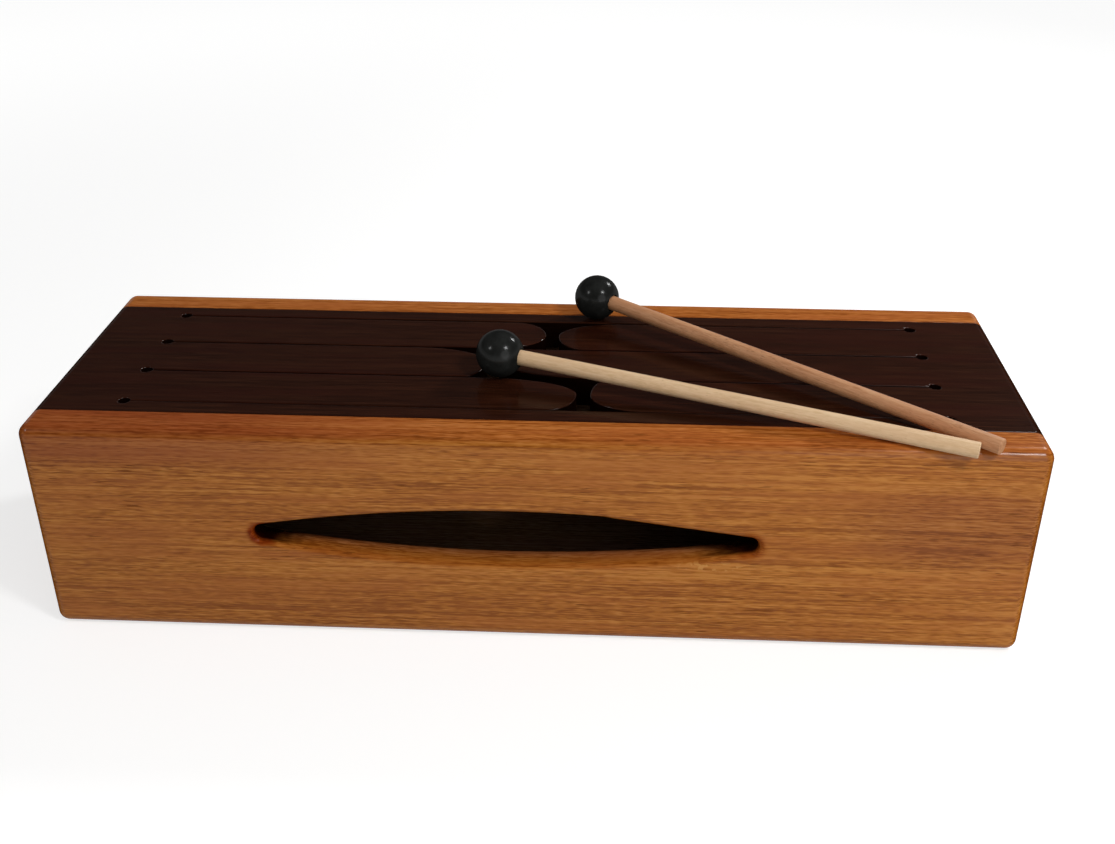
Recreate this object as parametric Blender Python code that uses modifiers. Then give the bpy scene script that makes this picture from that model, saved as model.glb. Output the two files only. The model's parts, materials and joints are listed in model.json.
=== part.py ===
"""A wooden tongue drum and its two mallets.

The drum is a box of two long side boards, two end panels and a bottom, dowelled at the
corners. Its top plate is cut by lengthwise slits and curved cross cuts into tongues. The
mallets lie on the plate with their tails over the front edge.

Metres, +Z up, X along the drum, the sound hole to the front at -Y. The origin is under the
middle of the bottom.
"""

import math
from dataclasses import dataclass

import bmesh
import bpy
from mathutils import Matrix, Vector
from mathutils.geometry import intersect_point_line

# Box
LENGTH = 0.500
WIDTH = 0.168
HEIGHT = 0.118
SIDE_THICKNESS = 0.020
END_THICKNESS = 0.020
BOTTOM_THICKNESS = 0.012
PLATE_THICKNESS = 0.016
EDGE_RADIUS = 0.006
JOINT_GAP = 0.0003

# Sound hole in the front board, a leaf of two long arcs with round ends
HOLE_LENGTH = 0.253
HOLE_HEIGHT = 0.030
HOLE_END_RADIUS = 0.0048
HOLE_RIM_RADIUS = 0.003
HOLE_LEFT_OF_MIDDLE = 0.012
HOLE_ABOVE_MIDDLE = 0.0013

# Tongues
RIM_WIDTH = 0.0115
ROOT_MARGIN = 0.044
SLIT_WIDTH = 0.0012
TIP_GAP = 0.007
DRILL_DIAMETER = 0.006

# Dowels at the box's corners
DOWEL_DIAMETER = 0.008
DOWEL_LENGTH = 0.036
DOWEL_COVER = 0.008
DOWEL_CHAMFER = 0.001
LOWER_DOWEL_RISE = 0.028
UPPER_DOWEL_DROP = 0.024

# Mallets
BALL_DIAMETER = 0.025
SOCKET_FLOOR = 0.008
HANDLE_DIAMETER = 0.008
HANDLE_CHAMFER = 0.0006
TAIL_REACH = 0.242
TAIL_GAP = 0.0006
FRONT_BALL_X = -0.0186
FRONT_BALL_BEHIND_SLIT = 0.003
FRONT_HANDLE_REST_X = 0.180
BACK_BALL_X = 0.030
BACK_BALL_FROM_BOARD = 0.0037

# Fineness of the facets
EDGE_SEGMENTS = 4
RIM_SEGMENTS = 3
LONG_ARC_SEGMENTS = 14
END_ARC_SEGMENTS = 8
SHOULDER_SEGMENTS = 10
DRILL_SEGMENTS = 24
DOWEL_SEGMENTS = 16
TURNED_STEPS = 32
BALL_SEGMENTS = 18
SHARP_ANGLE = math.radians(40)

# How far a cutter stands out of what it cuts, and the distance at which points are welded
OVERCUT = 0.010
WELD = 1e-5


@dataclass(frozen=True)
class Row:
    """A row of two tongues whose rounded tips face each other.

    place counts rows back from the middle one, cut_x is the middle of the gap between the
    tips, and each tongue's shoulders are the lengths of its tip's rounding at the back and
    at the front edge.
    """

    name: str
    place: int
    cut_x: float
    left_shoulders: tuple
    right_shoulders: tuple


ROWS = (
    Row("back", 1, 0.006, (0.018, 0.027), (0.035, 0.015)),
    Row("middle", 0, -0.024, (0.038, 0.010), (0.010, 0.056)),
    Row("front", -1, 0.0255, (0.048, 0.014), (0.009, 0.027)),
)
SIDES = {"left": -1, "right": 1}
WALLS = {"front": -1, "back": 1}

# Shared places
HALF_LENGTH = LENGTH / 2
HALF_WIDTH = WIDTH / 2
PLATE_HALF_WIDTH = HALF_WIDTH - SIDE_THICKNESS
PLATE_UNDERSIDE = HEIGHT - PLATE_THICKNESS
PLATE_MIDDLE = HEIGHT - PLATE_THICKNESS / 2
ROOT_X = HALF_LENGTH - ROOT_MARGIN
OUTER_SLIT_Y = PLATE_HALF_WIDTH - RIM_WIDTH
ROW_PITCH = 2 * OUTER_SLIT_Y / len(ROWS)
WINDOW_HALF_WIDTH = OUTER_SLIT_Y + SLIT_WIDTH / 2
TONGUE_HALF_WIDTH = (ROW_PITCH - SLIT_WIDTH) / 2
FRONT_EDGE_Y = EDGE_RADIUS - HALF_WIDTH
BALL_RADIUS = BALL_DIAMETER / 2
HANDLE_RADIUS = HANDLE_DIAMETER / 2


def new_collection(name):
    collection = bpy.data.collections.new(name)
    bpy.context.scene.collection.children.link(collection)
    return collection


def new_finish(name, colour, roughness):
    finish = bpy.data.materials.new(name)
    finish.use_nodes = True
    shader = finish.node_tree.nodes["Principled BSDF"]
    shader.inputs["Base Color"].default_value = (*colour, 1)
    shader.inputs["Roughness"].default_value = roughness
    shader.inputs["Metallic"].default_value = 0
    return finish


for old in list(bpy.data.objects):
    bpy.data.objects.remove(old, do_unlink=True)

PARTS = new_collection("tongue_drum")
CUTTERS = new_collection("cutters")

SIDE_WOOD = new_finish("side_wood", (0.36, 0.15, 0.05), 0.4)
PLATE_WOOD = new_finish("plate_wood", (0.045, 0.014, 0.009), 0.2)
DOWEL_WOOD = new_finish("dowel_wood", (0.55, 0.38, 0.22), 0.6)
PALE_WOOD = new_finish("pale_wood", (0.66, 0.47, 0.28), 0.5)
TAN_WOOD = new_finish("tan_wood", (0.45, 0.25, 0.13), 0.5)
BLACK_RUBBER = new_finish("black_rubber", (0.012, 0.014, 0.014), 0.25)


def add_part(name, mesh, finish, location=(0, 0, 0)):
    """A named piece of the drum, with its finish."""
    obj = bpy.data.objects.new(name, mesh)
    obj.location = location
    mesh.materials.append(finish)
    PARTS.objects.link(obj)
    return obj


def add_cutter(name, mesh, location=(0, 0, 0)):
    """A hidden shape for the Boolean modifiers."""
    obj = bpy.data.objects.new(name, mesh)
    obj.location = location
    obj.hide_render = True
    obj.display_type = "WIRE"
    CUTTERS.objects.link(obj)
    return obj


def combine(obj, other, operation):
    """Cuts or keeps, with a Boolean modifier, what another object covers."""
    modifier = obj.modifiers.new(other.name, "BOOLEAN")
    modifier.operation = operation
    modifier.solver = "EXACT"
    modifier.object = other


def add_rounding(obj, radius, segments, limit):
    rounding = obj.modifiers.new("rounding", "BEVEL")
    rounding.width = radius
    rounding.segments = segments
    rounding.limit_method = limit
    rounding.angle_limit = SHARP_ANGLE
    rounding.use_clamp_overlap = False


def to_mesh(name, shape):
    """A mesh from a bmesh, which is freed."""
    mesh = bpy.data.meshes.new(name)
    shape.to_mesh(mesh)
    shape.free()
    return mesh


def block_mesh(name, size):
    """A box of the given size about its own middle."""
    shape = bmesh.new()
    bmesh.ops.create_cube(shape, size=1)
    bmesh.ops.scale(shape, vec=size, verts=shape.verts)
    return to_mesh(name, shape)


def add_panel(name, low, high, finish):
    """A board between two corners."""
    low, high = Vector(low), Vector(high)
    return add_part(name, block_mesh(name, high - low), finish, (low + high) / 2)


def add_rod(shape, radius, length, segments, place):
    """Adds a round rod to a bmesh, along the Z of its place, a matrix."""
    bmesh.ops.create_cone(
        shape,
        cap_ends=True,
        segments=segments,
        radius1=radius,
        radius2=radius,
        depth=length,
        matrix=place,
    )


def outline_mesh(name, points, thickness):
    """A flat outline in XY, thickened evenly to both sides of Z = 0, as a closed mesh."""
    curve = bpy.data.curves.new(name, "CURVE")
    curve.dimensions = "2D"
    curve.fill_mode = "BOTH"
    curve.extrude = thickness / 2
    spline = curve.splines.new("POLY")
    spline.points.add(len(points) - 1)
    for spot, (x, y) in zip(spline.points, points):
        spot.co = (x, y, 0, 1)
    spline.use_cyclic_u = True
    guide = bpy.data.objects.new(name, curve)
    CUTTERS.objects.link(guide)
    graph = bpy.context.evaluated_depsgraph_get()
    mesh = bpy.data.meshes.new_from_object(guide.evaluated_get(graph))
    bpy.data.objects.remove(guide, do_unlink=True)
    shape = bmesh.new()
    shape.from_mesh(mesh)
    bmesh.ops.remove_doubles(shape, verts=shape.verts, dist=WELD)
    bmesh.ops.recalc_face_normals(shape, faces=shape.faces)
    return to_mesh(name, shape)


def add_turned(name, profile, finish):
    """A solid turned about its own Z from (radius, height) points that run down its outside."""
    shape = bmesh.new()
    spots = [shape.verts.new((radius, 0, height)) for radius, height in profile]
    for upper, lower in zip(spots, spots[1:]):
        shape.edges.new((upper, lower))
    obj = add_part(name, to_mesh(name, shape), finish)
    turn = obj.modifiers.new("turn", "SCREW")
    turn.axis = "Z"
    turn.steps = turn.render_steps = TURNED_STEPS
    turn.use_merge_vertices = True
    turn.merge_threshold = WELD
    turn.use_smooth_shade = True
    return obj


def arc(middle, radius, start, end, segments):
    """Points along an arc, without the last one."""
    turns = [start + (end - start) * step / segments for step in range(segments)]
    return [(middle[0] + radius * math.cos(t), middle[1] + radius * math.sin(t)) for t in turns]


def sound_hole_outline():
    """The leaf, about its own middle: two long arcs that run smoothly into two round ends."""
    half_height = HOLE_HEIGHT / 2
    end_x = HOLE_LENGTH / 2 - HOLE_END_RADIUS
    rise = half_height - HOLE_END_RADIUS
    long_radius = (end_x**2 + half_height**2 - HOLE_END_RADIUS**2) / (2 * rise)
    drop = long_radius - half_height
    lean = math.atan2(drop, end_x)
    return [
        *arc((0, -drop), long_radius, lean, math.pi - lean, LONG_ARC_SEGMENTS),
        *arc((-end_x, 0), HOLE_END_RADIUS, math.pi - lean, math.pi + lean, END_ARC_SEGMENTS),
        *arc((0, drop), long_radius, math.pi + lean, 2 * math.pi - lean, LONG_ARC_SEGMENTS),
        *arc((end_x, 0), HOLE_END_RADIUS, -lean, lean, END_ARC_SEGMENTS),
    ]


def tongue_outline(row, side):
    """A tongue's outline in plan, from its root along the back edge, round the tip and home."""
    back, front = row.left_shoulders if side < 0 else row.right_shoulders
    middle_y = row.place * ROW_PITCH
    tip = row.cut_x + side * TIP_GAP / 2
    root = side * (ROOT_X - JOINT_GAP / 2)
    points = [(root, middle_y + TONGUE_HALF_WIDTH)]
    for step in range(2 * SHOULDER_SEGMENTS + 1):
        turn = math.pi / 2 * (1 - step / SHOULDER_SEGMENTS)
        shoulder = back if turn > 0 else front
        x = tip + side * shoulder * (1 - math.cos(turn))
        points.append((x, middle_y + TONGUE_HALF_WIDTH * math.sin(turn)))
    points.append((root, middle_y - TONGUE_HALF_WIDTH))
    return points


def is_inside(outline, spot):
    """Whether a closed outline goes round a spot."""
    inside = False
    for a, b in zip(outline, outline[1:] + outline[:1]):
        crosses = (a.y > spot.y) != (b.y > spot.y)
        if crosses and spot.x < a.x + (spot.y - a.y) / (b.y - a.y) * (b.x - a.x):
            inside = not inside
    return inside


def distance_to_edge(spot, a, b):
    """How far a spot is from the straight edge between two corners."""
    nearest, share = intersect_point_line(spot, a, b)
    if share <= 0:
        nearest = a
    elif share >= 1:
        nearest = b
    return (spot - nearest.xy).length


def distance_to_wood(x, y):
    """How far in plan a spot over the plate is from the nearest wood of its top face."""
    if abs(y) >= WINDOW_HALF_WIDTH or abs(x) >= ROOT_X:
        return 0
    spot = Vector((x, y))
    distances = [WINDOW_HALF_WIDTH - abs(y)]
    for row in ROWS:
        for side in SIDES.values():
            outline = [Vector(point) for point in tongue_outline(row, side)]
            if is_inside(outline, spot):
                return 0
            edges = zip(outline, outline[1:] + outline[:1])
            distances.append(min(distance_to_edge(spot, a, b) for a, b in edges))
    return min(distances)


def add_box_envelope():
    """The whole box as one block with rounded edges: it rounds each piece cut out of it."""
    mesh = block_mesh("box_envelope", (LENGTH, WIDTH, HEIGHT))
    envelope = add_cutter("box_envelope", mesh, (0, 0, HEIGHT / 2))
    add_rounding(envelope, EDGE_RADIUS, EDGE_SEGMENTS, "NONE")
    return envelope


def dowel_places():
    """Each dowel's name and place. It lies along Y, across a side board's joint with an end."""
    heights = {"lower": LOWER_DOWEL_RISE, "upper": PLATE_UNDERSIDE - UPPER_DOWEL_DROP}
    x = HALF_LENGTH - END_THICKNESS / 2
    y = HALF_WIDTH - DOWEL_COVER - DOWEL_LENGTH / 2
    return {
        f"dowel_{wall}_{end}_{level}": Vector((side * x, way * y, z))
        for wall, way in WALLS.items()
        for end, side in SIDES.items()
        for level, z in heights.items()
    }


def along_y(middle):
    return Matrix.Translation(middle) @ Matrix.Rotation(math.pi / 2, 4, "X")


def add_dowel_bores():
    """One cutter for all the dowels' bores: each is the dowel with the joint's gap all round."""
    bores = bmesh.new()
    radius = DOWEL_DIAMETER / 2 + JOINT_GAP
    length = DOWEL_LENGTH + 2 * JOINT_GAP
    for middle in dowel_places().values():
        add_rod(bores, radius, length, DOWEL_SEGMENTS, along_y(middle))
    return add_cutter("dowel_bores", to_mesh("dowel_bores", bores))


def add_dowel(name, middle):
    """A dowel with both ends chamfered."""
    shape = bmesh.new()
    add_rod(shape, DOWEL_DIAMETER / 2, DOWEL_LENGTH, DOWEL_SEGMENTS, along_y((0, 0, 0)))
    rims = [edge for edge in shape.edges if edge.verts[0].co.y * edge.verts[1].co.y > 0]
    bmesh.ops.bevel(
        shape,
        geom=rims,
        offset=DOWEL_CHAMFER,
        segments=1,
        profile=0.5,
        affect="EDGES",
        material=-1,
    )
    mesh = to_mesh(name, shape)
    mesh.shade_smooth()
    mesh.set_sharp_from_angle(angle=SHARP_ANGLE)
    add_part(name, mesh, DOWEL_WOOD, middle)


def cut_sound_hole(board):
    """Cuts the leaf through a board and eases both its rims."""
    mesh = outline_mesh("sound_hole", sound_hole_outline(), SIDE_THICKNESS + 2 * OVERCUT)
    middle_y = SIDE_THICKNESS / 2 - HALF_WIDTH
    middle_z = HEIGHT / 2 + HOLE_ABOVE_MIDDLE
    hole = add_cutter("sound_hole", mesh, (-HOLE_LEFT_OF_MIDDLE, middle_y, middle_z))
    hole.rotation_euler.x = math.pi / 2
    combine(board, hole, "DIFFERENCE")
    add_rounding(board, HOLE_RIM_RADIUS, RIM_SEGMENTS, "ANGLE")


def build_box(envelope):
    """Side boards, end panels, bottom and the dowels between them."""
    bores = add_dowel_bores()
    for wall, way in WALLS.items():
        near, far = sorted((way * PLATE_HALF_WIDTH, way * HALF_WIDTH))
        board = add_panel(
            f"{wall}_panel",
            (-HALF_LENGTH - OVERCUT, near, -OVERCUT),
            (HALF_LENGTH + OVERCUT, far, HEIGHT + OVERCUT),
            SIDE_WOOD,
        )
        if wall == "front":
            cut_sound_hole(board)
        combine(board, envelope, "INTERSECT")
        combine(board, bores, "DIFFERENCE")
    seat = PLATE_HALF_WIDTH - JOINT_GAP
    inner = HALF_LENGTH - END_THICKNESS
    for end, side in SIDES.items():
        near, far = sorted((side * inner, side * (HALF_LENGTH + OVERCUT)))
        panel = add_panel(
            f"{end}_end_panel",
            (near, -seat, -OVERCUT),
            (far, seat, PLATE_UNDERSIDE - JOINT_GAP),
            SIDE_WOOD,
        )
        combine(panel, envelope, "INTERSECT")
        combine(panel, bores, "DIFFERENCE")
    reach = inner - JOINT_GAP
    add_panel("bottom_panel", (-reach, -seat, 0), (reach, seat, BOTTOM_THICKNESS), SIDE_WOOD)
    for name, middle in dowel_places().items():
        add_dowel(name, middle)


def add_drill_holes():
    """One cutter for the drilled holes at both ends of every slit."""
    holes = bmesh.new()
    for slit in range(len(ROWS) + 1):
        for side in SIDES.values():
            middle = (side * ROOT_X, slit * ROW_PITCH - OUTER_SLIT_Y, PLATE_MIDDLE)
            length = PLATE_THICKNESS + 2 * OVERCUT
            add_rod(holes, DRILL_DIAMETER / 2, length, DRILL_SEGMENTS, Matrix.Translation(middle))
    return add_cutter("drill_holes", to_mesh("drill_holes", holes))


def build_plate(envelope):
    """The plate's fixed frame, and the tongues in its window with their origins at their roots."""
    seat = PLATE_HALF_WIDTH - JOINT_GAP
    plate = add_panel(
        "tongue_plate",
        (-HALF_LENGTH - OVERCUT, -seat, PLATE_UNDERSIDE),
        (HALF_LENGTH + OVERCUT, seat, HEIGHT + OVERCUT),
        PLATE_WOOD,
    )
    window_size = (2 * ROOT_X + JOINT_GAP, 2 * WINDOW_HALF_WIDTH, PLATE_THICKNESS + 2 * OVERCUT)
    window = add_cutter(
        "tongue_window", block_mesh("tongue_window", window_size), (0, 0, PLATE_MIDDLE)
    )
    drill_holes = add_drill_holes()
    combine(plate, envelope, "INTERSECT")
    combine(plate, window, "DIFFERENCE")
    combine(plate, drill_holes, "DIFFERENCE")
    for row in ROWS:
        for end, side in SIDES.items():
            name = f"tongue_{row.name}_{end}"
            root = Vector((side * ROOT_X, row.place * ROW_PITCH))
            outline = [Vector(point) - root for point in tongue_outline(row, side)]
            mesh = outline_mesh(name, outline, PLATE_THICKNESS)
            tongue = add_part(name, mesh, PLATE_WOOD, (*root, PLATE_MIDDLE))
            combine(tongue, drill_holes, "DIFFERENCE")


def lie_down(ball, heading):
    """A resting mallet's ball centre and the direction from it to the tail.

    The ball rests on the nearest wood of the plate, and the handle on the front board where
    its flat top ends or, if it is too short for that, on its own tail.
    """
    reach = BALL_RADIUS + JOINT_GAP
    lift = math.sqrt(reach**2 - distance_to_wood(*ball) ** 2)
    run = min((FRONT_EDGE_Y - ball.y) / math.sin(heading), TAIL_REACH)
    slope = math.atan2(lift - HANDLE_RADIUS - JOINT_GAP, run)
    flat = math.cos(slope)
    tail_way = Vector((flat * math.cos(heading), flat * math.sin(heading), -math.sin(slope)))
    return Vector((*ball, HEIGHT + lift)), tail_way


def add_mallet(name, centre, tail_way, handle_finish):
    """A ball head, bored for the handle, and the handle, turned along the mallet's own Z."""
    rest = bpy.data.objects.new(f"{name}_rest", None)
    PARTS.objects.link(rest)
    rest.location = centre
    rest.rotation_mode = "QUATERNION"
    rest.rotation_quaternion = tail_way.to_track_quat("Z", "Y")

    bore = HANDLE_RADIUS + JOINT_GAP
    floor = SOCKET_FLOOR - BALL_RADIUS
    mouth = math.asin(bore / BALL_RADIUS)
    ball = [(0, floor), (bore, floor)]
    for step in range(BALL_SEGMENTS):
        turn = mouth + (math.pi - mouth) * step / BALL_SEGMENTS
        ball.append((BALL_RADIUS * math.sin(turn), BALL_RADIUS * math.cos(turn)))
    ball.append((0, -BALL_RADIUS))
    add_turned(f"{name}_head", ball, BLACK_RUBBER).parent = rest

    tip = floor + JOINT_GAP
    narrow = HANDLE_RADIUS - HANDLE_CHAMFER
    stick = [
        (0, TAIL_REACH),
        (narrow, TAIL_REACH),
        (HANDLE_RADIUS, TAIL_REACH - HANDLE_CHAMFER),
        (HANDLE_RADIUS, tip + HANDLE_CHAMFER),
        (narrow, tip),
        (0, tip),
    ]
    add_turned(f"{name}_handle", stick, handle_finish).parent = rest


def build_mallets():
    """Two mallets on the plate, the back one's tail lying beside the front one's."""
    ball = Vector((FRONT_BALL_X, FRONT_BALL_BEHIND_SLIT - ROW_PITCH / 2))
    to_rest = Vector((FRONT_HANDLE_REST_X, FRONT_EDGE_Y)) - ball
    centre, tail_way = lie_down(ball, math.atan2(to_rest.y, to_rest.x))
    add_mallet("mallet_front", centre, tail_way, PALE_WOOD)

    ball = Vector((BACK_BALL_X, PLATE_HALF_WIDTH - BACK_BALL_FROM_BOARD))
    to_tail = (centre + TAIL_REACH * tail_way).xy - ball
    beside = math.asin((HANDLE_DIAMETER + TAIL_GAP) / to_tail.length)
    centre, tail_way = lie_down(ball, math.atan2(to_tail.y, to_tail.x) + beside)
    add_mallet("mallet_back", centre, tail_way, TAN_WOOD)


def main():
    envelope = add_box_envelope()
    build_box(envelope)
    build_plate(envelope)
    build_mallets()


main()
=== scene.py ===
"""The looks of a wooden tongue drum and its two mallets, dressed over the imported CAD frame.

Metres, +Z up, X along the drum, the sound hole to the front at -Y.
"""

import json
import logging
import math
from dataclasses import dataclass, replace
from enum import Enum

import bmesh
import bpy
from bmesh.types import BMEdge, BMesh, BMVert
from bpy.types import Material, Node, NodeSocket, NodeTree, Object
from mathutils import Matrix, Vector

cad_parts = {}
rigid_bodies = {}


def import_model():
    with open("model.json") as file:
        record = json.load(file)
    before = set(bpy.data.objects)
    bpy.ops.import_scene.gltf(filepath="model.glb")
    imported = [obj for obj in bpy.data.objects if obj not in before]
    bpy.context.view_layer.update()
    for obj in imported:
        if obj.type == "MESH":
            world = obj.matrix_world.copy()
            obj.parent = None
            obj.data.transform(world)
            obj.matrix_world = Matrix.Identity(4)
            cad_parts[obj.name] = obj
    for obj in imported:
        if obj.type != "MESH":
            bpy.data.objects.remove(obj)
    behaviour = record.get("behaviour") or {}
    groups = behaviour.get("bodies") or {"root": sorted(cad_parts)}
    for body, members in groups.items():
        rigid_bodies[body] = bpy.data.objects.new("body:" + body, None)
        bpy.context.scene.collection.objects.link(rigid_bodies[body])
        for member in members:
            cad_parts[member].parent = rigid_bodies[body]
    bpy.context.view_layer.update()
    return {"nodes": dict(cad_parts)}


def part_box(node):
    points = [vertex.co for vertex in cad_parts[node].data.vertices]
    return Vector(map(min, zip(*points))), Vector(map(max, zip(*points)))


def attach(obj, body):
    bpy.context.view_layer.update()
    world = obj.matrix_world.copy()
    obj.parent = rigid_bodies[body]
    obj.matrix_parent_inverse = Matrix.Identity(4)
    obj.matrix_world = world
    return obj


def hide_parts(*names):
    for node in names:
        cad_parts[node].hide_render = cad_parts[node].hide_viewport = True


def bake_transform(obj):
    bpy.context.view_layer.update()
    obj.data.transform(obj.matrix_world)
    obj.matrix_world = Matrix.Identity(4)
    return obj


for startup in list(bpy.data.objects):
    bpy.data.objects.remove(startup, do_unlink=True)

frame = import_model()

LOG = logging.getLogger("tongue_drum")
DRUM = "drum"
WELD = 1e-6
LEVEL_SLACK = 1e-5
SHARP_ANGLE = math.radians(50)
UP = (0, 0, 1)
WHITE = (1, 1, 1, 1)

Triple = tuple[float, float, float]
Colour = Triple
Span = tuple[float, float]


class Side(Enum):
    """A side of the drum, by its sign along an axis."""

    @property
    def label(self) -> str:
        """The side's name as the CAD nodes spell it."""
        return self.name.lower()


class End(Side):
    """An end of the drum, by its sign along X."""

    LEFT = -1
    RIGHT = 1


class Wall(Side):
    """A long side of the drum, by its sign along Y."""

    FRONT = -1
    BACK = 1


class Slot(Enum):
    """The record's material slots."""

    SIDE_WOOD = "side_wood"
    PLATE_WOOD = "plate_wood"
    DOWEL_WOOD = "dowel_wood"
    PALE_WOOD = "pale_wood"
    TAN_WOOD = "tan_wood"
    BALL_RUBBER = "ball_rubber"


class Recipe:
    """Adds and links the nodes of one material or world."""

    def __init__(self, tree: NodeTree) -> None:
        """Keeps the node tree, of a material or of the world, that the recipe fills."""
        self.tree = tree

    def node(self, kind: str, inputs: dict | None = None, **settings: object) -> Node:
        """Adds a node.

        Args:
            kind: the node's type.
            inputs: what fills its sockets.
            settings: the node's own properties.

        Returns:
            The new node.
        """
        node = self.tree.nodes.new(kind)
        for key, value in settings.items():
            setattr(node, key, value)
        self.fill(node, inputs or {})
        return node

    def fill(self, node: Node, inputs: dict) -> None:
        """Links a node's sockets to others, or sets their values.

        Args:
            node: the node.
            inputs: socket name or number to an output socket, a number or a vector.
        """
        for key, value in inputs.items():
            if isinstance(value, NodeSocket):
                self.tree.links.new(value, node.inputs[key])
            else:
                node.inputs[key].default_value = value

    def coordinates(self, kind: str) -> NodeSocket:
        """A spot's coordinates of a kind, such as Object or Normal."""
        return self.node("ShaderNodeTexCoord").outputs[kind]

    def split(self, vector: NodeSocket) -> object:
        """A vector's parts, under the names X, Y and Z."""
        return self.node("ShaderNodeSeparateXYZ", {"Vector": vector}).outputs

    def noise(
        self, vector: NodeSocket, per_metre: Triple, detail: float = 2, roughness: float = 0.5
    ) -> NodeSocket:
        """A cloud.

        Args:
            vector: the coordinates.
            per_metre: how many features a metre holds along X, Y and Z.
            detail: how many finer layers it has.
            roughness: how strong they are.

        Returns:
            Its value, from 0 to 1.
        """
        scaled = self.node("ShaderNodeMapping", {"Vector": vector, "Scale": per_metre}).outputs["Vector"]
        inputs = {"Vector": scaled, "Scale": 1, "Detail": detail, "Roughness": roughness}
        return self.node("ShaderNodeTexNoise", inputs).outputs["Fac"]

    def span(self, value: NodeSocket, low: float, high: float, out: tuple = (0, 1)) -> NodeSocket:
        """A value mapped smoothly from low and high onto the two values, or sockets, of out."""
        inputs = {"Value": value, "From Min": low, "From Max": high, "To Min": out[0], "To Max": out[1]}
        return self.node("ShaderNodeMapRange", inputs, interpolation_type="SMOOTHSTEP").outputs["Result"]

    def math(self, operation: str, first: object, second: object = 0.0) -> NodeSocket:
        """The result of a Math node on two values or their sockets."""
        return self.node("ShaderNodeMath", {0: first, 1: second}, operation=operation).outputs["Value"]

    def product(self, first: object, *others: object) -> NodeSocket:
        """Values or sockets multiplied with one another."""
        for other in others:
            first = self.math("MULTIPLY", first, other)
        return first

    def vector(self, operation: str, first: object, second: object) -> NodeSocket:
        """The resulting vector of a Vector Math node on two vectors or their sockets."""
        return self.node("ShaderNodeVectorMath", {0: first, 1: second}, operation=operation).outputs["Vector"]

    def distance(self, spot: NodeSocket, middle: Triple | Vector = (0, 0, 0)) -> NodeSocket:
        """How far a spot is from a middle."""
        return self.node("ShaderNodeVectorMath", {0: spot, 1: middle}, operation="DISTANCE").outputs["Value"]

    def mix(self, share: object, first: object, second: object, mode: str = "MIX") -> NodeSocket:
        """Two colours or their sockets, mixed in a mode by the share of the second."""
        inputs = {0: share, 6: opaque(first), 7: opaque(second)}
        return self.node("ShaderNodeMix", inputs, data_type="RGBA", blend_type=mode).outputs[2]

    def bump(self, height: NodeSocket, depth: float) -> NodeSocket:
        """The normal of a surface with a small relief, from its height, 0 to 1, and its depth in metres."""
        inputs = {"Height": height, "Strength": 1.0, "Distance": depth}
        return self.node("ShaderNodeBump", inputs).outputs["Normal"]

    def seen(self) -> NodeSocket:
        """Whether a ray comes from the camera, a gloss or a glass, and so shows the background."""
        path = self.node("ShaderNodeLightPath").outputs
        clear = self.math("MAXIMUM", path["Is Glossy Ray"], path["Is Transmission Ray"])
        return self.math("MAXIMUM", path["Is Camera Ray"], clear)


class MaterialRecipe(Recipe):
    """Fills a new material's surface shader, from the piece's coordinates in the drum's frame."""

    def __init__(self, name: str, colour: Colour) -> None:
        """Starts the material.

        Args:
            name: the finish's name.
            colour: the colour that it starts from.
        """
        self.material = bpy.data.materials.new(name)
        self.material.use_nodes = True
        super().__init__(self.material.node_tree)
        self.surface = self.tree.nodes["Principled BSDF"]
        self.own = self.coordinates("Object")
        self.colour: Colour | NodeSocket = colour
        self.film: float | NodeSocket = 0.0

    def paint(self, share: NodeSocket, colour: object) -> None:
        """Paints a colour over the material's own, by a share in each place."""
        self.colour = self.mix(share, self.colour, colour)

    def tint(self, share: NodeSocket, tint: Colour) -> None:
        """Tints the material's colour, by a share in each place."""
        self.paint(share, self.mix(1.0, self.colour, tint, "MULTIPLY"))


def opaque(colour: object) -> object:
    """Gives a plain colour its alpha, and leaves a socket as it is."""
    if isinstance(colour, NodeSocket):
        return colour
    return (*colour, 1.0)


@dataclass(frozen=True)
class Grain:
    """A wood's figure: lengths along the fibres and widths across, in metres, and how strongly each shows."""

    band: Span = (0.420, 0.015)
    blush: Span = (0.090, 0.008)
    line: Span = (0.350, 0.0013)
    streak: Span = (0.060, 0.0012)
    fibre: Span = (0.007, 0.0007)
    pore: Span = (0.012, 0.0006)
    sway: float = 0.003
    sways_per_metre: Triple = (6, 14, 14)
    pore_patches_per_metre: Triple = (16, 70, 70)
    rings_per_metre: Triple = (40, 60, 550)
    layer_roughness: float = 0.55
    ring_roughness: float = 0.6
    band_weight: float = 0.5
    line_weight: float = 0.9
    streak_weight: float = 0.8
    blush_share: float = 0.5
    blush_edges: Span = (0.40, 0.70)
    streak_edges: Span = (0.3, 0.7)
    patch_edges: Span = (0.42, 0.60)
    ring_edges: Span = (0.36, 0.64)
    pore_edge: float = 0.06
    pore_depth: float = 0.7
    pore_varnish: float = 0.5
    fibre_relief: float = 0.4

    def layer(self, recipe: Recipe, along: NodeSocket, size: Span, detail: float = 2) -> NodeSocket:
        """A layer of the figure, from 0 to 1, whose features have a length and a width."""
        per_metre = (1 / size[0], 1 / size[1], 1 / size[1])
        return recipe.noise(along, per_metre, detail, self.layer_roughness)


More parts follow.
